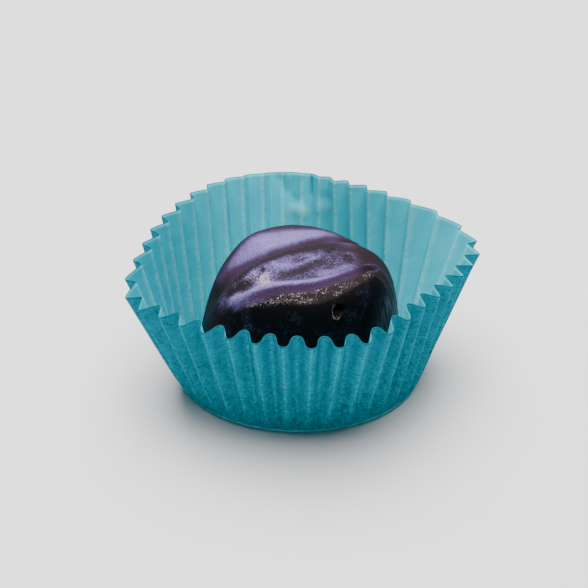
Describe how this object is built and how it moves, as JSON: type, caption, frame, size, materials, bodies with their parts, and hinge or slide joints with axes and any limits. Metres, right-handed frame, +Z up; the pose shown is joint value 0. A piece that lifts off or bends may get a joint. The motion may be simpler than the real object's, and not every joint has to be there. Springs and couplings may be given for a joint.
{
  "type": "chocolate truffle",
  "caption": "Moulded chocolate truffle with soft diagonal ridges dusted in lilac lustre, standing in a fluted teal paper case.",
  "frame": {"origin": "centre of the paper case's flat base, on its underside, where it stands on the table", "axes": "+Z up, -Y towards the shown side of the truffle, +X to the right as seen from that side"},
  "size_m": [0.0466, 0.0498, 0.0195],
  "materials": {
    "greaseproof_paper": "matt, thin and translucent, with a fine fibrous mottle",
    "dusted_chocolate": "dark chocolate with a satin sheen, its top dusted with lilac lustre"
  },
  "bodies": {
    "root": {"paper_case": "greaseproof_paper", "truffle": "dusted_chocolate"}
  },
  "joints": []
}
